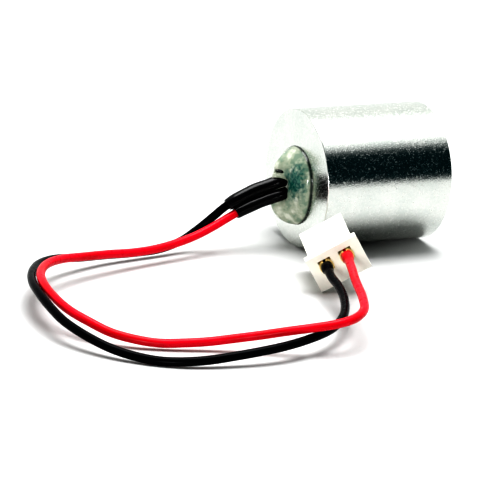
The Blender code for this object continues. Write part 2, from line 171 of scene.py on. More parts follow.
def turn(name: str, profile: Outline, steps: int = 96) -> Object:
    """Turn an outline about the can's axis, as on a lathe.

    Args:
        name: The new object's name.
        profile: (depth, radius) points in millimetres, depth counted from the wire end.  One
            that starts and ends on the axis gives a solid, and any other a ring.
        steps: How many sides the round has.

    Returns:
        The turned object, closed, with its faces outwards.
    """
    points = [tuple(from_axis(depth, 0.0, radius)) for depth, radius in profile]
    obj = chain(name, points, closed=profile[0][1] > 0.0)
    with editing(obj):
        bpy.ops.mesh.spin(steps=steps, angle=math.tau, center=tuple(CAN_AXIS), axis=(1, 0, 0))
    clean(obj)
    return obj


def press(name: str, outline: Outline, start: float, end: float) -> Object:
    """Extrude a flat outline along the can's axis.

    Args:
        name: The new object's name.
        outline: (y, z) points about the axis in millimetres.
        start: Depth of the first face from the wire end, in millimetres.
        end: Depth of the last face, in millimetres.

    Returns:
        The extruded object.
    """
    obj = chain(name, [tuple(from_axis(start, y, z)) for y, z in outline], closed=True)
    with editing(obj):
        bpy.ops.mesh.edge_face_add()
        extrude((end - start, 0.0, 0.0))
    clean(obj)
    return obj


def box(name: str, low: Point, high: Point) -> Object:
    """Add a cube and stretch it between two corners.

    Args:
        name: The new object's name.
        low: Its lowest corner, in millimetres.
        high: Its highest corner, in millimetres.

    Returns:
        The box, with its place in its mesh.
    """
    middle = (Vector(low) + Vector(high)) / 2 * MM
    bpy.ops.mesh.primitive_cube_add(size=1.0, location=middle)
    obj = bpy.context.object
    obj.name = name
    obj.scale = (Vector(high) - Vector(low)) * MM
    bpy.ops.object.transform_apply()
    return obj


def apply(obj: Object, kind: str, **settings: object) -> None:
    """Add a modifier, set it and apply it.

    Args:
        obj: The object that it shapes.
        kind: The modifier's type.
        settings: Its properties by name.
    """
    pick_only(obj)
    bpy.ops.object.modifier_add(type=kind)
    modifier = obj.modifiers[-1]
    for key, value in settings.items():
        setattr(modifier, key, value)
    bpy.ops.object.modifier_apply(modifier=modifier.name)


def carve(target: Object, cutter: Object) -> None:
    """Take a cutter's volume out of a target and throw the cutter away."""
    apply(target, "BOOLEAN", operation="DIFFERENCE", solver="EXACT", object=cutter)
    bpy.data.objects.remove(cutter, do_unlink=True)


def cut_box(target: Object, low: Point, high: Point) -> None:
    """Take a box between two corners, in millimetres, out of a target."""
    carve(target, box("cutter", low, high))


def repeat(obj: Object, count: int, travel: Point) -> None:
    """Repeat an object in a row; the travel between copies is in millimetres."""
    apply(obj, "ARRAY", count=count, use_relative_offset=False, use_constant_offset=True,
          constant_offset_displace=tuple(along * MM for along in travel))


def soften(obj: Object, width: float, segments: int = 3, angle: float = 35.0) -> None:
    """Round an object's edges and shade what lies between them.

    Args:
        obj: The object to finish.
        width: Width of the rounding in millimetres.
        segments: Faces across each rounding.
        angle: Edges flatter than this, in degrees, are left alone.
    """
    limit = math.radians(angle)
    pick_only(obj)
    bpy.ops.object.shade_smooth_by_angle(angle=limit)
    apply(obj, "BEVEL", width=width * MM, segments=segments, limit_method="ANGLE",
          angle_limit=limit, harden_normals=True)


def join(name: str, parts: Sequence[Object]) -> Object:
    """Join several objects into one piece.

    Args:
        name: The piece's name.
        parts: The objects, the first of which stays.

    Returns:
        The joined object.
    """
    pick_only(parts[0])
    for part in parts[1:]:
        part.select_set(True)
    bpy.ops.object.join()
    parts[0].name = name
    return parts[0]


def line_through(route: Sequence[Point], step: float) -> list[Vector]:
    """Read evenly spread points from a smooth curve through a route's points.

    Args:
        route: Points in millimetres.
        step: Wanted distance between the points, in millimetres.

    Returns:
        The points, in metres.
    """
    knots = [Vector(point) * MM for point in route]
    knots = [knots[0] * 2 - knots[1], *knots, knots[-1] * 2 - knots[-2]]
    fine = []
    for a, b, c, d in zip(knots, knots[1:], knots[2:], knots[3:]):
        for i in range(CURVE_STEPS):
            t = i / CURVE_STEPS
            bend = (2 * a - 5 * b + 4 * c - d) * t ** 2
            twist = (3 * b - a - 3 * c + d) * t ** 3
            fine.append((2 * b + (c - a) * t + bend + twist) / 2)
    fine.append(knots[-2])
    total = length_of(fine)
    gap = total / round(total / (step * MM))
    spread = [fine[0]]
    walked = 0.0
    for a, b in zip(fine, fine[1:]):
        length = (b - a).length
        while walked + length >= gap * len(spread) - 1e-9:
            spread.append(a.lerp(b, (gap * len(spread) - walked) / length))
        walked += length
    return spread


def length_of(points: Sequence[Vector]) -> float:
    """Length of a line of points."""
    return sum((b - a).length for a, b in zip(points, points[1:]))


def smooth(share: float) -> float:
    """Clamp a share to 0 to 1 and ease both of its ends."""
    share = min(max(share, 0.0), 1.0)
    return share * share * (3 - 2 * share)


def tube(name: str, points: Sequence[Vector], radii: Sequence[float], caps: bool,
         resolution: int = 6) -> Object:
    """Add a round curve along points.

    Args:
        name: The new object's name.
        points: Places on its centreline, in metres.
        radii: Its radius at each point, in metres.
        caps: Whether its ends are closed.
        resolution: Bevel resolution of the curve.

    Returns:
        The curve object.
    """
    curve = bpy.data.curves.new(name, "CURVE")
    curve.dimensions = "3D"
    curve.bevel_depth = radii[0]
    curve.bevel_resolution = resolution
    curve.use_fill_caps = caps
    spline = curve.splines.new("POLY")
    spline.points.add(len(points) - 1)
    for slot, point, radius in zip(spline.points, points, radii):
        slot.co = (*point, 1.0)
        slot.radius = radius / radii[0]
    obj = bpy.data.objects.new(name, curve)
    bpy.context.scene.collection.objects.link(obj)
    return obj


# ---- finishes ----
class Graph:
    """A node tree, built by short calls."""

    def __init__(self, tree: bpy.types.NodeTree) -> None:
        """Take the tree that is built in."""
        self.tree = tree

    def add(self, kind: str, feeds: dict[str | int, Source] | None = None,
            **settings: object) -> bpy.types.Node:
        """Add a node, set its properties and feed its inputs.

        Args:
            kind: The node's type.
            feeds: What goes into its inputs, by their names or numbers.
            settings: Its properties by name.

        Returns:
            The node.
        """
        node = self.tree.nodes.new(kind)
        for key, value in settings.items():
            setattr(node, key, value)
        for key, source in (feeds or {}).items():
            self.feed(node.inputs[key], source)
        return node

    def feed(self, socket: Socket, source: Source) -> None:
        """Join a socket to another one, or set it to a plain value or a colour."""
        if isinstance(source, Socket):
            self.tree.links.new(source, socket)
        elif isinstance(source, tuple) and len(source) == 3 and socket.type == "RGBA":
            socket.default_value = (*source, 1.0)
        else:
            socket.default_value = source

    def split(self, vector: Socket) -> bpy.types.NodeOutputs:
        """Take a vector apart into its X, Y and Z."""
        return self.add("ShaderNodeSeparateXYZ", {"Vector": vector}).outputs

    def span(self, source: Source, limits: Pair, low: float = 0.0, high: float = 1.0) -> Socket:
        """Map a number from between two limits to a low and a high, smoothly and clamped.

        Args:
            source: The number.
            limits: Where the low and the high are reached.
            low: What it is at the first limit and before it.
            high: What it is at the second limit and after it.

        Returns:
            The mapped number.
        """
        feeds = {"Value": source, "From Min": limits[0], "From Max": limits[1],
                 "To Min": low, "To Max": high}
        node = self.add("ShaderNodeMapRange", feeds, interpolation_type="SMOOTHSTEP")
        return node.outputs["Result"]

    def math(self, operation: str, a: Source, b: Source = 0.0) -> Socket:
        """One sum on two numbers."""
        return self.add("ShaderNodeMath", {0: a, 1: b}, operation=operation).outputs["Value"]

    def mean(self, a: Source, share: float, b: Source) -> Socket:
        """Mean of two numbers, of which the first has the share that is given."""
        return self.math("ADD", self.math("MULTIPLY", a, share),
                         self.math("MULTIPLY", b, 1 - share))

    def away(self, *offsets: tuple[Source, float, float]) -> Socket:
        """Distance from a spot.

        Args:
            offsets: For each direction a coordinate, the spot's own one, and how fast the
                distance grows.

        Returns:
            The distance.
        """
        joined = self.add("ShaderNodeCombineXYZ")
        for socket, (value, centre, pace) in zip(joined.inputs, offsets):
            self.feed(socket, self.math("MULTIPLY", self.math("SUBTRACT", value, centre), pace))
        node = self.add("ShaderNodeVectorMath", {0: joined.outputs["Vector"]},
                        operation="LENGTH")
        return node.outputs["Value"]

    def blend(self, share: Source, a: Source, b: Source) -> Socket:
        """Mix two colours by the share of the second; inputs 6 and 7 are the node's colours."""
        node = self.add("ShaderNodeMix", {0: share, 6: a, 7: b}, data_type="RGBA")
        return node.outputs[2]


class Recipe(Graph):
    """A material's node tree."""

    def __init__(self, name: str) -> None:
        """Start a material with one Principled shader and the object's own coordinates."""
        self.material = bpy.data.materials.new(name)
        self.material.use_nodes = True
        super().__init__(self.material.node_tree)
        self.shader = self.tree.nodes["Principled BSDF"]
        self.place = self.add("ShaderNodeTexCoord").outputs["Object"]

    def set(self, **values: Source) -> None:
        """Feed the shader's sockets, named with underscores for spaces."""
        for key, value in values.items():
            self.feed(self.shader.inputs[key.replace("_", " ")], value)

    def moved(self, scale: Point, offset: Point = (0.0, 0.0, 0.0)) -> Socket:
        """Object coordinates, moved by an offset and then scaled."""
        shift = tuple(a * b for a, b in zip(scale, offset))
        feeds = {"Vector": self.place, "Scale": scale, "Location": shift}
        return self.add("ShaderNodeMapping", feeds, vector_type="POINT").outputs["Vector"]

    def noise(self, size: float, stretch: Point = (1.0, 1.0, 1.0),
              detail: float = 3.0) -> Socket:
        """Cloudy noise.

        Args:
            size: Size of its spots in millimetres.
            stretch: How fast it changes along each axis.
            detail: How many finer layers it has.

        Returns:
            The noise from 0 to 1.
        """
        place = self.moved(tuple(s / (size * MM) for s in stretch))
        feeds = {"Vector": place, "Scale": 1.0, "Detail": detail}
        return self.add("ShaderNodeTexNoise", feeds).outputs["Fac"]

    def ramp(self, source: Socket, stops: Sequence[float], *colours: Colour) -> Socket:
        """Turn a number into a colour.

        Args:
            source: The number.
            stops: Where each colour is reached.
            colours: The colours.

        Returns:
            The colour.
        """
        node = self.add("ShaderNodeValToRGB", {"Fac": source})
        node.color_ramp.interpolation = "EASE"
        elements = node.color_ramp.elements
        while len(elements) < len(stops):
            elements.new(0.5)
        for element, stop, colour in zip(elements, stops, colours):
            element.position = stop
            element.color = (*colour, 1.0)
        return node.outputs["Color"]

    def relief(self, height: Socket, depth: float) -> Socket:
        """Fine relief from a height of 0 to 1, where 1 measures depth in millimetres."""
        feeds = {"Height": height, "Strength": 1.0, "Distance": depth * MM}
        return self.add("ShaderNodeBump", feeds).outputs["Normal"]


class Lay(Enum):
    """How the working marks of a surface run: how fast they change along X, Y and Z."""

    EVEN = (1.0, 1.0, 1.0)
    AROUND = (1.0, 0.05, 0.05)
    ALONG = (0.05, 1.0, 1.0)


@dataclass(frozen=True)
class Metal:
    """A bare or plated metal: two tints mixed by its grain, over fine relief."""

    name: str
    tint: Colour
    shade: Colour
    roughness: float
    spread: float
    grain: float
    depth: float
    lay: Lay = Lay.EVEN
    stain: float = 14.0
    grain_share: float = 0.55
    tint_limits: Pair = (0.36, 0.62)
    rough_limits: Pair = (0.3, 0.7)

    def make(self) -> bpy.types.Material:
        """Build the material."""
        recipe = Recipe(self.name)
        grain = recipe.noise(self.grain, self.lay.value)
        stain = recipe.noise(self.grain * self.stain, detail=2.0)
        mixed = recipe.mean(grain, self.grain_share, stain)
        recipe.set(
            Base_Color=recipe.ramp(mixed, self.tint_limits, self.shade, self.tint),
            Metallic=1.0,
            Roughness=recipe.span(mixed, self.rough_limits, self.roughness + self.spread,
                                  self.roughness - self.spread),
            Normal=recipe.relief(grain, self.depth))
        return recipe.material


@dataclass(frozen=True)
class Moulding:
    """A moulded plastic: a mottled tint, a faintly uneven skin, and light below the skin."""

    name: str
    tint: Colour
    shade: Colour
    roughness: float
    grain: float
    depth: float
    glow: float = 0.0
    gloss: float = 0.5
    reach: float = 0.4
    spread: float = 0.06
    cloud: float = 4.0
    tint_limits: Pair = (0.35, 0.6)
    rough_limits: Pair = (0.3, 0.7)

    def make(self) -> bpy.types.Material:
        """Build the material."""
        recipe = Recipe(self.name)
        cloud = recipe.noise(self.grain * self.cloud, detail=4.0)
        skin = recipe.noise(self.grain)
        recipe.set(
            Base_Color=recipe.ramp(cloud, self.tint_limits, self.shade, self.tint),
            Roughness=recipe.span(skin, self.rough_limits, self.roughness + self.spread,
                                  self.roughness - self.spread),
            Specular_IOR_Level=self.gloss,
            Subsurface_Weight=self.glow,
            Subsurface_Scale=self.reach * MM,
            Normal=recipe.relief(skin, self.depth))
        return recipe.material


@dataclass(frozen=True)
class SpangledPlate:
    """Dull zinc plate: a mirror-like skin broken up by fine matt grains and soft stains."""

    name: str
    tint: Colour
    shade: Colour
    shine: float = 0.14
    matt: float = 0.42
    grain: float = 0.12
    coarse: float = 3.4
    stain: float = 22.0
    relief: float = 0.16
    fine_share: float = 0.6
    spot_share: float = 0.65
    tint_limits: Pair = (0.38, 0.58)
    rough_limits: Pair = (0.53, 0.68)

    def make(self) -> bpy.types.Material:
        """Build the material from grains on two scales."""
        recipe = Recipe(self.name)
        fine = recipe.noise(self.grain, detail=2.0)
        coarse = recipe.noise(self.grain * self.coarse)
        stain = recipe.noise(self.grain * self.stain)
        spots = recipe.mean(fine, self.fine_share, coarse)
        mixed = recipe.mean(spots, self.spot_share, stain)
        recipe.set(
            Base_Color=recipe.ramp(mixed, self.tint_limits, self.shade, self.tint),
            Metallic=1.0,
            Roughness=recipe.span(spots, self.rough_limits, self.shine, self.matt),
            Normal=recipe.relief(spots, self.grain * self.relief))
        return recipe.material


@dataclass(frozen=True)
class SealingResin:
    """Clear grey-green resin, dark where the motor shows through, milky where it is thin.

    Places, sizes and limits of distance are in millimetres from the can's axis and face.
    """

    name: str
    deep: Colour = (0.001, 0.075, 0.062)
    middle: Colour = (0.07, 0.18, 0.14)
    cloudy: Colour = (0.22, 0.29, 0.22)
    milky: Colour = (0.36, 0.40, 0.31)
    pale: Colour = (0.60, 0.62, 0.53)
    # Near black: painted shade for the rim against the can and for the pit over the sleeves.
    painted_shade: Colour = (0.001, 0.010, 0.009)
    deep_spot: Pair = (2.4, 0.3)
    deep_pace: Pair = (0.50, 0.34)
    deep_limits: Pair = (0.25, 0.95)
    cloud: float = 0.45
    cloud_push: float = 1.2
    milk: float = 1.1
    milk_limits: Point = (0.36, 0.50, 0.66)
    speckle: float = 0.3
    speckle_limits: Pair = (0.42, 0.66)
    # Where the painted shade at the rim fades in, by depth from the can's face, and how dark it
    # gets.
    rim_shade_limits: Pair = (-0.34, -0.08)
    rim_shade_share: float = 0.95
    # Size and fade of the painted shade in the pit over the sleeves.
    pit_shade_pace: Pair = (2.0, 4.5)
    pit_shade_limits: Pair = (0.7, 1.1)
    ripple: float = 0.9
    ripple_depth: float = 0.06

    def make(self) -> bpy.types.Material:
        """Build the material from the distance to the two dark spots beside the sleeves, with
        painted shade at its rim and in the pit.
        """
        recipe = Recipe(self.name)
        at = recipe.split(recipe.moved((1 / MM,) * 3, tuple(-CAN_AXIS)))
        aside = recipe.math("ABSOLUTE", at["Y"])
        spots = recipe.away((aside, self.deep_spot[0], self.deep_pace[0]),
                            (at["Z"], self.deep_spot[1], self.deep_pace[1]))
        cloud = recipe.noise(self.cloud, detail=4.0)
        uneven = recipe.math("MULTIPLY", recipe.math("SUBTRACT", cloud, 0.5), self.cloud_push)
        near = recipe.span(recipe.math("ADD", spots, uneven), self.deep_limits)
        thin = recipe.ramp(recipe.noise(self.milk, detail=6.0), self.milk_limits,
                           self.cloudy, self.milky, self.pale)
        thick = recipe.ramp(recipe.noise(self.speckle), self.speckle_limits,
                            self.deep, self.middle)
        # Painted shade: the resin turns near black where it meets the can's face, in place of the
        # shaded gap at the hole's edge.
        rim = recipe.span(at["X"], self.rim_shade_limits, 0.0, self.rim_shade_share)
        # Painted shade: the pit over the upper sleeve is coloured near black, in place of the
        # shadow in that crevice.
        pit = recipe.away((at["Y"], RESIN_PIT[0], self.pit_shade_pace[0]),
                          (at["Z"], RESIN_PIT[1], self.pit_shade_pace[1]))
        body = recipe.blend(rim, recipe.blend(near, thick, thin), self.painted_shade)
        recipe.set(
            Base_Color=recipe.blend(recipe.span(pit, self.pit_shade_limits, 1.0, 0.0), body, self.painted_shade),
            Roughness=0.22,
            Specular_IOR_Level=0.25,
            Coat_Weight=0.30,
            Coat_Roughness=0.05,
            Normal=recipe.relief(recipe.noise(self.ripple), self.ripple_depth))
        return recipe.material


Surface = Metal | Moulding | SpangledPlate | SealingResin


class Finish:
    """The finishes of this motor, one for each kind of surface."""

    PLATED_CAN = SpangledPlate("plated_can", (0.73, 0.74, 0.71), (0.63, 0.66, 0.63))
    PRESSED_COVER = Metal("pressed_cover_steel", (0.80, 0.81, 0.82), (0.60, 0.62, 0.64), 0.26,
                          0.06, 0.12, 0.003)
    CASE_STEEL = Metal("motor_case_steel", (0.62, 0.63, 0.65), (0.45, 0.46, 0.48), 0.30,
                       0.08, 0.10, 0.002, Lay.AROUND)
    SINTERED_BRONZE = Metal("sintered_bronze", (0.62, 0.44, 0.22), (0.28, 0.18, 0.09), 0.45,
                            0.10, 0.06, 0.010)
    FERRITE = Metal("ground_ferrite", (0.16, 0.16, 0.17), (0.07, 0.07, 0.075), 0.55, 0.08,
                    0.09, 0.004, Lay.ALONG)
    TERMINAL_BRASS = Metal("terminal_brass", (0.86, 0.68, 0.32), (0.66, 0.48, 0.20), 0.28,
                           0.08, 0.10, 0.002, Lay.ALONG)
    SOLDER = Metal("bright_solder", (0.78, 0.79, 0.80), (0.50, 0.51, 0.53), 0.30, 0.10, 0.20,
                   0.010)
    BRUSH_COPPER = Metal("brush_copper", (0.86, 0.56, 0.34), (0.62, 0.34, 0.18), 0.26, 0.08,
                         0.08, 0.002, Lay.ALONG)
    BAR_COPPER = Metal("commutator_copper", (0.84, 0.50, 0.30), (0.52, 0.27, 0.15), 0.30,
                       0.08, 0.05, 0.003, Lay.AROUND)
    GROUND_STEEL = Metal("ground_shaft_steel", (0.72, 0.73, 0.75), (0.50, 0.51, 0.53), 0.18,
                         0.05, 0.04, 0.001, Lay.AROUND)
    CORE_STEEL = Metal("lamination_steel", (0.40, 0.41, 0.43), (0.22, 0.22, 0.24), 0.48, 0.08,
                       0.10, 0.004)
    WEIGHT_ALLOY = Metal("sintered_heavy_alloy", (0.42, 0.42, 0.43), (0.22, 0.22, 0.23), 0.42,
                         0.10, 0.09, 0.008)
    ENAMELLED_COPPER = Metal("enamelled_copper", (0.78, 0.34, 0.14), (0.55, 0.20, 0.07), 0.24,
                             0.06, 0.12, 0.002)
    CRIMP_BRASS = Metal("crimp_brass", (1.0, 0.86, 0.48), (0.85, 0.64, 0.28), 0.22, 0.06,
                        0.08, 0.002, Lay.ALONG)
    COLLAR_RUBBER = Moulding("collar_rubber", (0.045, 0.045, 0.047), (0.022, 0.022, 0.024),
                             0.78, 0.15, 0.012)
    CAP_NYLON = Moulding("cap_nylon", (0.88, 0.87, 0.82), (0.78, 0.77, 0.71), 0.42, 0.20,
                         0.006, glow=0.1)
    HUB_RESIN = Moulding("hub_resin", (0.20, 0.11, 0.07), (0.09, 0.05, 0.03), 0.5, 0.08,
                         0.006)
    WASHER_FIBRE = Moulding("washer_fibre", (0.80, 0.78, 0.70), (0.55, 0.52, 0.44), 0.62,
                            0.08, 0.010)
    RED_VINYL = Moulding("red_vinyl", (0.70, 0.0010, 0.024), (0.60, 0.0005, 0.014), 0.32, 0.8,
                         0.006, gloss=0.15)
    BLACK_VINYL = Moulding("black_vinyl", (0.0030, 0.0030, 0.0045), (0.001, 0.001, 0.002),
                           0.26, 0.8, 0.006, gloss=0.04)
    SHRUNK_SLEEVE = Moulding("shrunk_sleeve", (0.004, 0.004, 0.005), (0.002, 0.002, 0.0025),
                             0.18, 0.7, 0.035, gloss=0.20)
    IVORY_NYLON = Moulding("ivory_nylon", (0.91, 0.90, 0.80), (0.88, 0.86, 0.74), 0.36, 0.35,
                           0.006, glow=0.75, reach=2.2)
    RESIN = SealingResin("sealing_resin")


def dress(obj: Object, finish: Surface, body: str, node: str) -> Object:
    """Give a finished piece its material, its body and the solid it stands for.

    Args:
        obj: The finished piece.
        finish: Its surface.
        body: The body that it moves with.
        node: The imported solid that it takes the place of.

    Returns:
        The piece.
    """
    name = finish.name
    material = bpy.data.materials.get(name) or finish.make()
    obj.data.materials.clear()
    obj.data.materials.append(material)
    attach(obj, body)
    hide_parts(node)
    log.info("%s: %s, for %s", obj.name, name, node)
    return obj


# ---- leads ----
@dataclass
class Lead:
    """One lead: its insulation, its shrunk sleeve and its loop across the surface.

    Lengths are in millimetres.  The sleeve's waves and drawn-in end are counted from its far
    end, and the bell is the part that the crimp's mouth squeezes out of the insulation.
    """

    colour: str
    route: Sequence[Point]
    finish: Moulding
    sleeve_end: float
    radius: float = 0.48
    sleeve_radius: float = 0.745
    sleeve_wall: float = 0.20
    sleeve_start: float = 2.2
    drawn: float = 0.07
    drawn_length: float = 0.35
    wave: float = 0.012
    wave_pace: float = 2.4
    crimp_grip: float = 1.40
    squeeze: float = 0.06
    bell_length: float = 1.6
    bell_top: float = 0.45
    bell: float = 0.40
    step: float = 0.25
    points: list[Vector] = field(init=False)
    length: float = field(init=False)

    def __post_init__(self) -> None:
        """Work out the centreline and its length in metres."""
        self.points = line_through(self.route, self.step)
        self.length = length_of(self.points)

    def build(self) -> tuple[Object, Object]:
        """Make the lead's curve and its sleeve."""
        wire = tube(f"{self.colour}_lead_insulation", self.points, self.radii(), caps=True)
        dress(wire, self.finish, CASING, f"{self.colour}_lead")
        return wire, self.sleeve()

    def radii(self) -> list[float]:
        """Radius at each point: even, with a bell where the crimp squeezes the end."""
        gap = self.length / (len(self.points) - 1)
        found = []
        for index in range(len(self.points)):
            left = (self.length - index * gap) / MM
            share = (left - self.crimp_grip) / self.bell_length
            swell = self.squeeze
            if share >= 0.0:
                faded = smooth((share - self.bell_top) / (1 - self.bell_top))
                swell = self.bell * (1 - faded)
            found.append(self.radius * MM * (1 + swell))
        return found

    def sleeve(self) -> Object:
        """Make the shrunk sleeve, a tube with a wall and a slightly drawn-in end."""
        pace = MM / self.length * (len(self.points) - 1)
        first = round(self.sleeve_start * pace)
        last = round(self.sleeve_end * pace)
        covered = self.points[first:last + 1]
        radii = []
        for index in range(len(covered)):
            to_end = (len(covered) - 1 - index) * self.step
            drawn = self.drawn * math.exp(-to_end / self.drawn_length)
            wave = self.wave * math.sin(to_end * self.wave_pace + len(self.colour))
            radii.append((self.sleeve_radius + wave - drawn) * MM)
        obj = tube(f"{self.colour}_sleeve_tube", covered, radii, caps=False, resolution=8)
        pick_only(obj)
        bpy.ops.object.convert(target="MESH")
        clean(obj)
        apply(obj, "SOLIDIFY", thickness=self.sleeve_wall * MM, offset=-1.0, use_rim=True)
        soften(obj, 0.05, segments=2, angle=50.0)
        return dress(obj, Finish.SHRUNK_SLEEVE, CASING, f"sleeve_{self.colour}")


RED_ROUTE = (
    (-5.6, -0.2, 6.8), (-6.9, -0.2, 6.6), (-8.2, -0.3, 6.3), (-10.0, -0.3, 5.9),
    (-11.8, -0.4, 5.4), (-13.5, -0.5, 4.8), (-15.1, -0.6, 4.1), (-17.4, -0.9, 3.1),
    (-20.3, -1.6, 2.3), (-24.2, -2.6, 1.8), (-27.8, -3.5, 1.8), (-31.4, -4.6, 2.2),
    (-35.0, -5.9, 2.6), (-38.4, -7.6, 3.1), (-41.0, -9.8, 3.4), (-42.9, -12.8, 3.5),
    (-43.9, -16.3, 3.4), (-44.0, -19.6, 3.0), (-43.5, -22.3, 2.5), (-42.4, -24.7, 2.0),
    (-40.7, -26.8, 1.3), (-38.6, -28.5, 0.9), (-36.4, -29.7, 0.7), (-34.0, -30.6, 0.8),
    (-31.6, -31.4, 1.0), (-29.3, -32.3, 1.4), (-26.9, -33.4, 1.9), (-24.6, -34.5, 2.45),
    (-22.1, -35.4, 2.9), (-19.5, -35.9, 3.25), (-17.1, -35.4, 3.5), (-15.1, -33.6, 3.7),
    (-13.7, -30.6, 3.95), (-12.2, -26.2, 4.2), (-10.7, -22.4, 4.3), (-9.66, -19.58, 4.43),
    (-8.88, -17.21, 4.58),
)
BLACK_ROUTE = (
    (-5.6, 0.1, 7.9), (-6.9, 0.1, 7.9), (-8.2, 0.1, 7.8), (-10.0, 0.0, 7.4),
    (-11.8, 0.0, 6.9), (-13.6, -0.1, 6.2), (-15.4, -0.05, 5.2), (-16.9, 0.2, 3.9),
    (-18.4, 0.5, 2.6), (-20.6, 0.3, 1.4), (-23.5, -0.3, 0.85), (-27.1, -0.9, 0.85),
    (-30.7, -1.6, 1.1), (-34.4, -2.9, 1.5), (-38.0, -4.7, 2.2), (-40.9, -7.4, 2.7),
    (-43.0, -10.7, 3.0), (-44.35, -14.1, 3.1), (-45.05, -17.8, 3.05), (-45.25, -21.4, 2.7),
    (-45.0, -24.8, 2.2), (-43.9, -27.9, 1.6), (-42.3, -30.5, 1.0), (-40.5, -32.5, 0.65),
    (-38.4, -34.2, 0.5), (-36.1, -35.4, 0.6), (-33.7, -36.1, 0.8), (-31.1, -36.5, 1.1),
    (-28.4, -36.7, 1.4), (-25.4, -36.5, 1.65), (-22.4, -35.7, 1.85), (-19.5, -34.3, 2.0),
    (-17.1, -32.3, 2.2), (-15.2, -29.7, 2.4), (-13.7, -26.5, 2.65), (-12.8, -23.5, 2.9),
    (-12.3, -21.0, 3.0), (-11.67, -18.84, 3.15), (-10.89, -16.47, 3.3),
)


# ---- connector ----
@dataclass
class Connector:
    """The two-way housing and its contacts, modelled upright and then laid in place.

    In its own frame X points to the red side, Y away from the leads and Z to the latch side.
    Lengths are in millimetres and angles in degrees.  A window and a pocket are given as half
    of their width, their two ends along Y and their depth.
    """

    place: Point = (-9.9, -17.85, 3.42)
    tilt: Point = (3.4, -31.0, -18.1)
    pitch: float = 2.5
    pin_height: float = 0.55
    length: float = 8.0
    width: float = 5.2
    height: float = 4.0
    lip_length: float = 1.0
    lip_width: float = 6.2
    lip_height: float = 4.2
    funnel: Pair = (0.42, 0.35)
    cavity: Pair = (0.74, 6.0)
    pin_hole: Pair = (0.45, 5.5)
    window: tuple[float, float, float, float] = (0.40, 4.2, 5.2, 0.10)
    pocket: tuple[float, float, float, float] = (0.55, 1.6, 3.4, 0.30)
    groove: Point = (0.10, 3.5, 0.05)
    side_groove: Point = (0.12, -1.1, 1.25)
    strip: float = 0.14
    grip_out: float = 0.50
    grip_radius: float = 0.66
    flare: float = 1.12

    def lay_down(self, obj: Object) -> None:
        """Turn a piece from the connector's frame to its place on the surface.

        Args:
            obj: The piece, which keeps its place in its mesh.
        """
        turned = Euler([math.radians(angle) for angle in self.tilt], "YXZ").to_matrix()
        pick_only(obj)
        obj.matrix_world = Matrix.Translation(Vector(self.place) * MM) @ turned.to_4x4()
        bpy.ops.object.transform_apply()

    def housing(self) -> Object:
        """Make the moulded housing with its lip, cavities, latch windows and pin sockets."""
        obj = box("ivory_housing", (-self.width / 2, self.lip_length, -self.height / 2),
                  (self.width / 2, self.length, self.height / 2))
        grown = (self.lip_width / self.width, 1.0, self.lip_height / self.height)
        inset, sunk = self.funnel
        with editing(obj, "FACE"):
            select_where(obj, "faces", lambda face: face.normal.y < -0.9)
            extrude((0.0, 0.0, 0.0))
            bpy.ops.transform.resize(value=grown, center_override=(0.0, 0.0, 0.0))
            extrude((0.0, -self.lip_length, 0.0))
            select_where(obj, "faces", lambda face: face.normal.y > 0.9
                         and face.calc_center_median().y > (self.length - 0.1) * MM)
            bpy.ops.mesh.inset(thickness=inset * MM)
            extrude((0.0, -sunk, 0.0))
        clean(obj)
        for side in (-1, 1):
            self.open_way(obj, side * self.pitch / 2)
        half, start, depth = self.groove
        cut_box(obj, (-half, start, self.height / 2 - depth), (half, self.length + 1, self.height))
        depth, bottom, top = self.side_groove
        for side in (-1, 1):
            low, high = sorted((side * (self.width / 2 - depth), side * (self.width / 2 + 1)))
            cut_box(obj, (low, self.lip_length + 0.35, bottom), (high, self.length + 1, top))
        clean(obj)
        soften(obj, 0.09, angle=30.0)
        self.lay_down(obj)
        return dress(obj, Finish.IVORY_NYLON, CASING, "connector_housing")

    def open_way(self, obj: Object, x: float) -> None:
        """Open one way of the housing: its cavity, pin hole, latch window and lower pocket.

        Args:
            obj: The housing.
            x: Sideways place of the way.
        """
        z = self.pin_height
        half, end = self.cavity
        cut_box(obj, (x - half, -1.0, z - half), (x + half, end, z + half))
        half, start = self.pin_hole
        cut_box(obj, (x - half, start, z - half), (x + half, self.length + 1, z + half))
        half, start, end, depth = self.window
        cut_box(obj, (x - half, start, self.height / 2 - depth), (x + half, end, self.height))
        half, start, end, depth = self.pocket
        cut_box(obj, (x - half, start, -self.height), (x + half, end, depth - self.height / 2))

    def barrel(self, x: float, radius: float, start: float, end: float, gap: float,
               flare: float = 1.0) -> Object:
        """Make an open crimp barrel whose wings curl over and almost meet.

        Args:
            x: Sideways place of its axis.
            radius: Radius of the middle of its wall.
            start: Where it begins along Y.
            end: Where it ends along Y.
            gap: Angle between the wings, in degrees.
            flare: How much wider its mouth is.

        Returns:
            The barrel.
        """
        points = []
        steps = 24
        curls = {0: 0.80, 1: 0.97, steps - 1: 0.97, steps: 0.80}
        for index in range(steps + 1):
            angle = math.radians(90 + gap / 2 + (360 - gap) * index / steps)
            curl = radius * curls.get(index, 1.0)
            points.append(((x + curl * math.cos(angle)) * MM, start * MM,
                           (self.pin_height + curl * math.sin(angle)) * MM))
        obj = chain("barrel", points, closed=False)
        with editing(obj, "EDGE"):
            extrude((0.0, end - start, 0.0))
        clean(obj)
        apply(obj, "SOLIDIFY", thickness=self.strip * MM, offset=0.0, use_rim=True)
        clean(obj)
        with editing(obj):
            select_where(obj, "verts", lambda vert: vert.co.y < (start + 0.01) * MM)
            middle = (x * MM, start * MM, self.pin_height * MM)
            bpy.ops.transform.resize(value=(flare, 1.0, flare), center_override=middle)
        return obj

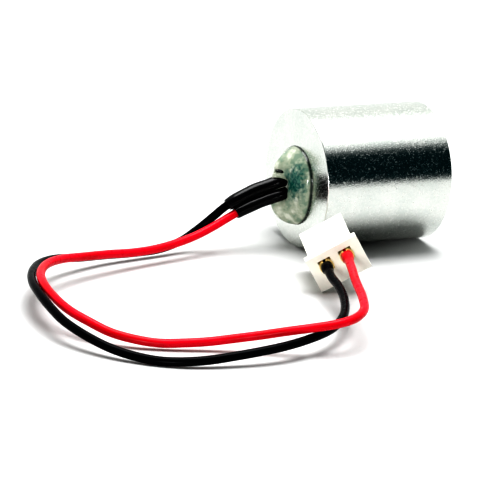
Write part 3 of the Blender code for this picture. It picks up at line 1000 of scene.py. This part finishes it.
    def contact(self, colour: str, side: int) -> Object:
        """Make one stamped contact: two crimp barrels, the strip below and the box.

        Args:
            colour: The lead that it holds.
            side: 1 on the red side, -1 on the black side.

        Returns:
            The contact.
        """
        x = side * self.pitch / 2
        z = self.pin_height
        floor = z - self.grip_radius
        grip = self.barrel(x, self.grip_radius, -self.grip_out, 1.1, 30.0, flare=self.flare)
        core = self.barrel(x, 0.38, 1.5, 2.9, 16.0)
        strip = box("strip", (x - 0.30, -self.grip_out, floor),
                    (x + 0.30, 5.8, floor + self.strip))
        riser = box("riser", (x - 0.25, 1.45, floor), (x + 0.25, 2.95, z - 0.36))
        socket = box("socket", (x - 0.50, 3.3, floor), (x + 0.50, 5.8, z + 0.42))
        cut_box(socket, (x - 0.37, 3.0, floor + self.strip), (x + 0.37, 6.2, z + 0.29))
        latch = box("latch", (x - 0.22, 4.45, z + 0.40), (x + 0.22, 5.2, z + 0.72))
        with editing(latch):
            select_where(latch, "verts", lambda vert: vert.co.y > 5.1 * MM
                         and vert.co.z > (z + 0.6) * MM)
            bpy.ops.transform.translate(value=(0.0, 0.0, -0.24 * MM))
        obj = join(f"{colour}_contact", [grip, core, strip, riser, socket, latch])
        soften(obj, 0.025, segments=2, angle=40.0)
        self.lay_down(obj)
        return dress(obj, Finish.CRIMP_BRASS, CASING, f"crimp_{colour}")


# ---- casing ----
@dataclass
class Can:
    """The drawn can, the disc pressed into its far end and the rubber collar inside.

    Lengths are in millimetres, and the seat is how much wider the can is turned out there.
    """

    radius: float = 8.0
    length: float = 16.0
    wall: float = 0.8
    hole: float = 3.55
    seat: float = 0.2
    cover: float = 1.05
    gap: float = 0.05
    collar_inner: float = 5.5
    collar_end: float = 9.0
    ribs: int = 6
    rib_height: float = 0.35

    def shell(self) -> None:
        """Make the can: a plain drawn cup with a hole, and a seat turned for the cover."""
        bore = self.radius - self.wall
        seat = bore + self.seat
        seat_depth = self.length - self.cover - self.gap
        obj = turn("drawn_can", (
            (0.0, self.hole), (0.0, self.radius), (self.length, self.radius),
            (self.length, seat), (seat_depth, seat), (seat_depth, bore),
            (self.wall, bore), (self.wall, self.hole)), steps=144)
        soften(obj, 0.16, segments=4, angle=40.0)
        dress(obj, Finish.PLATED_CAN, CASING, "can_shell")

    def lid(self) -> None:
        """Make the pressed disc with its shallow dish and its stiffening ring."""
        edge = self.radius - self.wall + self.seat - self.gap
        start = self.length - self.cover
        face = self.length - 0.02
        obj = turn("pressed_cover", (
            (start, 0.0), (start, edge), (face, edge), (face, edge - 0.55),
            (face - 0.22, edge - 0.75), (face - 0.22, edge - 1.25), (face - 0.05, edge - 1.45),
            (face - 0.05, 1.9), (face - 0.16, 1.7), (face - 0.16, 0.0)))
        soften(obj, 0.09, angle=12.0)
        dress(obj, Finish.PRESSED_COVER, CASING, "rear_cover")

    def collar(self) -> None:
        """Make the rubber collar with the ribs that press on the can."""
        inner = self.collar_inner + self.gap
        outer = self.radius - self.wall - self.gap
        start, end = self.wall + self.gap, self.collar_end
        profile = [(start, inner), (start, outer - self.rib_height)]
        pitch = (end - start) / self.ribs
        for index in range(self.ribs):
            near = start + index * pitch
            profile += [(near + 0.30 * pitch, outer), (near + 0.70 * pitch, outer),
                        (near + pitch, outer - self.rib_height)]
        profile.append((end, inner))
        obj = turn("ribbed_collar", profile, steps=72)
        soften(obj, 0.08, segments=2, angle=20.0)
        dress(obj, Finish.COLLAR_RUBBER, CASING, "motor_collar")


@dataclass
class ResinSeal:
    """The resin that fills the wire hole: it climbs the sleeves in a ridge and sags below.

    Lengths are in millimetres.  The top, side and bottom are how far its rim reaches from the
    hole's middle.  Its ridge runs up between the two sleeves, and beside them it is dented.
    """

    hole: float = 3.50
    plug_end: float = 1.9
    rings: int = 40
    top: float = 3.75
    side: float = 3.95
    bottom: float = 5.45
    sag: float = 1.8
    rim_power: float = 2.6
    rim_round: float = 0.55
    rim_lean: float = 0.08
    crest: float = 3.1
    belly: float = 0.35
    belly_start: float = 1.0
    belly_length: float = 2.3
    shoulder: float = 1.75
    ridge: float = 1.05
    collar: float = 1.40
    upper_sleeve: float = -0.20
    lower_sleeve: float = -1.75
    sleeve_radius: float = 0.69
    dent: float = 0.75
    pit: Point = (0.42, 0.26, 0.9)
    lift: float = 0.01

    def build(self) -> None:
        """Turn a flat plug with close rings, then raise its face into the drop."""
        profile = [(self.plug_end, 0.0), (self.plug_end, self.hole - 0.02)]
        for index in range(self.rings + 1):
            profile.append((-self.lift, self.hole * (1 - index / self.rings)))
        obj = turn("resin_drop", profile, steps=144)
        for vert in obj.data.vertices:
            if vert.co.x > CAN_AXIS.x:
                continue
            flat = (vert.co - CAN_AXIS) / MM
            reach = math.hypot(flat.y, flat.z)
            share = min(reach / self.hole, 1.0)
            height = flat.z / reach if reach > 0 else 0.0
            low = (self.bottom - self.side) * max(-height, 0.0) ** self.sag
            high = (self.top - self.side) * max(height, 0.0) ** 2
            grown = (self.side + low + high) / self.hole
            y, z = flat.y * grown, flat.z * grown
            vert.co = from_axis(-self.rise(y, z, share) - self.lift, y, z)
        pick_only(obj)
        bpy.ops.object.shade_smooth_by_angle(angle=math.radians(60))
        dress(obj, Finish.RESIN, CASING, "potting_dome")

    def rise(self, y: float, z: float, share: float) -> float:
        """Height of the resin over the can's face.

        Args:
            y: Sideways place from the hole's middle, in millimetres.
            z: Upward place from the hole's middle, in millimetres.
            share: How near the resin's rim it is, from 0 in the middle to 1.

        Returns:
            The height in millimetres.
        """
        power = self.rim_round + self.rim_lean * max(z, 0.0)
        rim = max(1.0 - share ** self.rim_power, 0.0) ** power
        crest = self.crest + self.belly * smooth((-z - self.belly_start) / self.belly_length)
        height = rim * (self.shoulder
                        + (crest - self.shoulder) * math.exp(-(y / self.ridge) ** 2))
        nearest = min(max(z, self.lower_sleeve), self.upper_sleeve)
        away = math.hypot(y, z - nearest)
        beside = (y / away) ** 2 if away > 1e-6 else 1.0
        clear = max(away - self.sleeve_radius, 0.0)
        dent = beside * math.exp(-(clear / self.dent) ** 2)
        height -= max(height - self.collar, 0.0) * dent
        half_width, half_height, depth = self.pit
        spot = math.hypot((y - RESIN_PIT[0]) / half_width, (z - RESIN_PIT[1]) / half_height)
        return max(height - depth * math.exp(-spot ** 2), 0.0)


# ---- motor ----
@dataclass(frozen=True)
class InnerPieces:
    """Plain solids that keep their shape and get rounded edges and one finish.

    The names hold {} where a word tells the pieces of a set apart.
    """

    node: str
    name: str
    finish: Surface
    slot: str
    body: str
    rounding: float
    words: Sequence[str] = ("",)

    def build(self, nodes: dict[str, Object]) -> None:
        """Copy each solid, merge its points, take out its flat seams and round its edges.

        Args:
            nodes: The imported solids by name.
        """
        for word in self.words:
            node = self.node.format(word)
            obj = bpy.data.objects.new(self.name.format(word), nodes[node].data.copy())
            bpy.context.scene.collection.objects.link(obj)
            with editing(obj):
                bpy.ops.mesh.remove_doubles(threshold=1e-6)
                bpy.ops.mesh.dissolve_limited(angle_limit=math.radians(0.6))
            soften(obj, self.rounding, segments=2, angle=32.0)
            dress(obj, self.finish, self.body, node)


COLOURS = ("red", "black")
ENDS = ("rear", "front")
INNER_PIECES = (
    InnerPieces("motor_can", "motor_case", Finish.CASE_STEEL, "motor_steel", CASING, 0.12),
    InnerPieces("brush_cap", "moulded_brush_cap", Finish.CAP_NYLON, "white_nylon", CASING, 0.06),
    InnerPieces("{}_bearing", "{}_bush", Finish.SINTERED_BRONZE, "bronze", CASING, 0.08, ENDS),
    InnerPieces("magnet_{}", "{}_magnet", Finish.FERRITE, "ferrite", CASING, 0.06,
                ("upper", "lower")),
    InnerPieces("terminal_{}", "{}_terminal", Finish.TERMINAL_BRASS, "brass", CASING, 0.03,
                COLOURS),
    InnerPieces("solder_{}", "{}_solder_joint", Finish.SOLDER, "solder", CASING, 0.06, COLOURS),
    InnerPieces("brush_{}", "{}_brush", Finish.BRUSH_COPPER, "copper", CASING, 0.02, COLOURS),
    InnerPieces("thrust_washer_{}", "{}_thrust_washer", Finish.WASHER_FIBRE, "washer_fibre",
                CASING, 0.02, ENDS),
    InnerPieces("shaft", "ground_shaft", Finish.GROUND_STEEL, "shaft_steel", ROTOR, 0.04),
    InnerPieces("commutator_hub", "phenolic_hub", Finish.HUB_RESIN, "hub_resin", ROTOR, 0.04),
    InnerPieces("commutator_bar_{}", "copper_bar_{}", Finish.BAR_COPPER, "copper", ROTOR, 0.02,
                ("a", "b", "c")),
    InnerPieces("eccentric_weight", "half_disc_weight", Finish.WEIGHT_ALLOY, "weight_metal",
                ROTOR, 0.15),
)


@dataclass
class Armature:
    """The laminated core and the windings on its arms, in millimetres and degrees."""

    poles: int = 3
    plates: int = 8
    plate_share: float = 0.92
    start: float = 6.0
    end: float = 8.6
    arm_half: float = 0.6
    hub: float = 1.4
    shoe_inner: float = 2.85
    shoe_outer: float = 3.6
    shoe_half: float = 50.0
    bore: float = 0.55
    turns: int = 5
    layers: int = 2
    layer_share: float = 1.8
    thread: float = 0.085
    slack: float = 0.05
    wound: Pair = (1.80, 2.45)

    def arc(self, radius: float, start: float, end: float, steps: int) -> list[Pair]:
        """Points of an arc about the axis, ends included, between two angles."""
        angles = (start + (end - start) * i / steps for i in range(steps + 1))
        return [(radius * math.cos(a), radius * math.sin(a)) for a in angles]

    def core(self) -> None:
        """Make the stack of stamped plates."""
        outline = []
        reach = math.radians(self.shoe_half)
        hub_half = math.asin(self.arm_half / self.hub)
        arm_half = math.asin(self.arm_half / self.shoe_inner)
        for pole in range(self.poles):
            middle = math.pi / 2 + pole * math.tau / self.poles
            after = middle + math.tau / self.poles
            outline += self.arc(self.shoe_inner, middle - arm_half, middle - reach, 5)
            outline += self.arc(self.shoe_outer, middle - reach, middle + reach, 16)
            outline += self.arc(self.shoe_inner, middle + reach, middle + arm_half, 5)
            outline += self.arc(self.hub, middle + hub_half, after - hub_half, 5)
        pitch = (self.end - self.start) / self.plates
        plate = press("laminated_core", outline, self.start,
                      self.start + pitch * self.plate_share)
        inside, outside = self.start - 1.0, self.start + 1.0
        carve(plate, turn("cutter", ((inside, 0.0), (inside, self.bore),
                                     (outside, self.bore), (outside, 0.0)), steps=32))
        soften(plate, 0.02, segments=1, angle=50.0)
        repeat(plate, self.plates, (pitch, 0.0, 0.0))
        dress(plate, Finish.CORE_STEEL, ROTOR, "rotor_core")

    def loop(self, half_x: float, half_y: float) -> Object:
        """Make one turn of wire with rounded corners, about the origin.

        Args:
            half_x: Half of its length along X.
            half_y: Half of its width along Y.

        Returns:
            The turn.
        """
        bpy.ops.mesh.primitive_torus_add(major_segments=40, minor_segments=8, major_radius=MM,
                                         minor_radius=self.thread * MM)
        loop = bpy.context.object
        for vert in loop.data.vertices:
            flat = Vector((vert.co.x, vert.co.y)) / MM
            out = flat.normalized()
            corner = (abs(out.x) ** 6 + abs(out.y) ** 6) ** (-1 / 6)
            away = flat.length - 1.0
            vert.co.x = (out.x * corner * half_x + out.x * away) * MM
            vert.co.y = (out.y * corner * half_y + out.y * away) * MM
        return loop

    def winding(self, letter: str, pole: int) -> None:
        """Wind one arm: rounded loops side by side, in layers.

        Args:
            letter: The winding's letter.
            pole: Which arm it is on.
        """
        low, high = self.wound
        pitch = (high - low) / (self.turns - 1)
        loops = []
        for layer in range(self.layers):
            grown = self.slack + self.thread + layer * self.thread * self.layer_share
            loop = self.loop((self.end - self.start) / 2 + grown, self.arm_half + grown)
            loop.location = from_axis((self.start + self.end) / 2, 0.0, low)
            pick_only(loop)
            bpy.ops.object.transform_apply()
            repeat(loop, self.turns, (0.0, 0.0, pitch))
            loops.append(loop)
        obj = join(f"winding_{letter}", loops)
        swing = Matrix.Rotation(pole * math.tau / self.poles, 4, "X")
        obj.matrix_world = Matrix.Translation(CAN_AXIS) @ swing @ Matrix.Translation(-CAN_AXIS)
        pick_only(obj)
        bpy.ops.object.transform_apply()
        bpy.ops.object.shade_smooth()
        dress(obj, Finish.ENAMELLED_COPPER, ROTOR, f"coil_{letter}")


# ---- studio ----
@dataclass(frozen=True)
class Softbox:
    """A round soft light that looks at the motor."""

    name: str
    place: Point
    size: float
    power: float
    target: Point = (-0.018, -0.015, 0.0)

    def hang(self) -> None:
        """Add the light to the scene."""
        bpy.ops.object.light_add(type="AREA", location=self.place)
        lamp = bpy.context.object
        lamp.name = self.name
        lamp.data.shape = "DISK"
        lamp.data.size = self.size
        lamp.data.energy = self.power
        aim = Vector(self.target) - Vector(self.place)
        lamp.rotation_euler = aim.to_track_quat("-Z", "Y").to_euler()


@dataclass
class Studio:
    """The camera, the pale surface and the soft light, in metres and degrees.

    The room's light changes with the direction: the walls from dark to backdrop along Y, and
    the ceiling comes in along Z and along X.  Each edge is where such a change starts and ends.
    """

    eye: Point = (-0.15273, -0.27951, 0.09545)
    forward: Point = (0.43042, 0.85397, -0.29237)
    roll: float = 3.66
    lens: float = 205.2
    floor_size: float = 6.0
    floor_shade: Colour = (0.56, 0.56, 0.56)
    floor_tint: Colour = (0.58, 0.58, 0.58)
    ceiling: Colour = (1.12, 1.14, 1.13)
    backdrop: Colour = (0.68, 0.70, 0.68)
    dark_side: Colour = (0.0020, 0.0165, 0.0195)
    ceiling_edge: Pair = (0.68, 0.88)
    dark_edge: Pair = (-0.30, 0.20)
    ceiling_side: Pair = (-0.10, 0.38)
    lights: tuple[Softbox, ...] = (
        Softbox("key_softbox", (0.04, 0.06, 0.60), 0.46, 3.9),
        Softbox("front_fill", (-0.35, -0.50, 0.06), 0.12, 1.1),
    )

    def camera(self) -> None:
        """Set up the camera, and make it the scene's."""
        bpy.ops.object.camera_add(location=self.eye)
        camera = bpy.context.object
        camera.name = "studio_camera"
        camera.data.lens = self.lens
        camera.data.sensor_width = 36.0
        camera.data.clip_start = 0.01
        camera.data.clip_end = 20.0
        aim = Vector(self.forward).to_track_quat("-Z", "Y").to_matrix()
        turned = aim @ Matrix.Rotation(math.radians(self.roll), 3, "Z")
        camera.rotation_euler = turned.to_euler()
        bpy.context.scene.camera = camera

    def floor(self) -> None:
        """Lay the pale surface that the motor stands on."""
        bpy.ops.mesh.primitive_plane_add(size=self.floor_size, location=(0.0, 0.0, 0.0))
        floor = bpy.context.object
        floor.name = "pale_floor"
        recipe = Recipe(floor.name)
        recipe.set(Base_Color=recipe.ramp(recipe.noise(40.0), (0.3, 0.7), self.floor_shade,
                                          self.floor_tint),
                   Roughness=0.7, Specular_IOR_Level=0.15)
        floor.data.materials.append(recipe.material)

    def surroundings(self) -> None:
        """Light the room from above and from behind, and leave its near side dark."""
        world = bpy.data.worlds.new("studio_room")
        world.use_nodes = True
        bpy.context.scene.world = world
        graph = Graph(world.node_tree)
        along = graph.split(graph.add("ShaderNodeTexCoord").outputs["Generated"])
        walls = graph.blend(graph.span(along["Y"], self.dark_edge), self.dark_side,
                            self.backdrop)
        lit = graph.math("MULTIPLY", graph.span(along["Z"], self.ceiling_edge),
                         graph.span(along["X"], self.ceiling_side))
        graph.feed(world.node_tree.nodes["Background"].inputs["Color"],
                   graph.blend(lit, walls, self.ceiling))

    def build(self) -> None:
        """Build the studio."""
        self.camera()
        self.floor()
        self.surroundings()
        for light in self.lights:
            light.hang()
        view = bpy.context.scene.view_settings
        view.view_transform = "Standard"
        view.look = "Very High Contrast"
        log.info("studio ready")


def main() -> None:
    """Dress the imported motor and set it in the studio."""
    logging.basicConfig(level=logging.INFO, format="%(name)s: %(message)s")
    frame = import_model()
    nodes = frame["nodes"]

    Studio().build()
    red = Lead("red", RED_ROUTE, Finish.RED_VINYL, sleeve_end=9.0)
    black = Lead("black", BLACK_ROUTE, Finish.BLACK_VINYL, sleeve_end=10.1)
    red_wire, red_sleeve = red.build()
    black_wire, black_sleeve = black.build()

    connector = Connector()
    housing = connector.housing()
    red_contact = connector.contact("red", 1)
    black_contact = connector.contact("black", -1)

    can = Can()
    can.shell()
    can.lid()
    can.collar()
    ResinSeal().build()
    for piece in INNER_PIECES:
        piece.build(nodes)
    armature = Armature()
    armature.core()
    for pole, letter in enumerate("abc"):
        armature.winding(letter, pole)


if __name__ == "__main__":
    main()
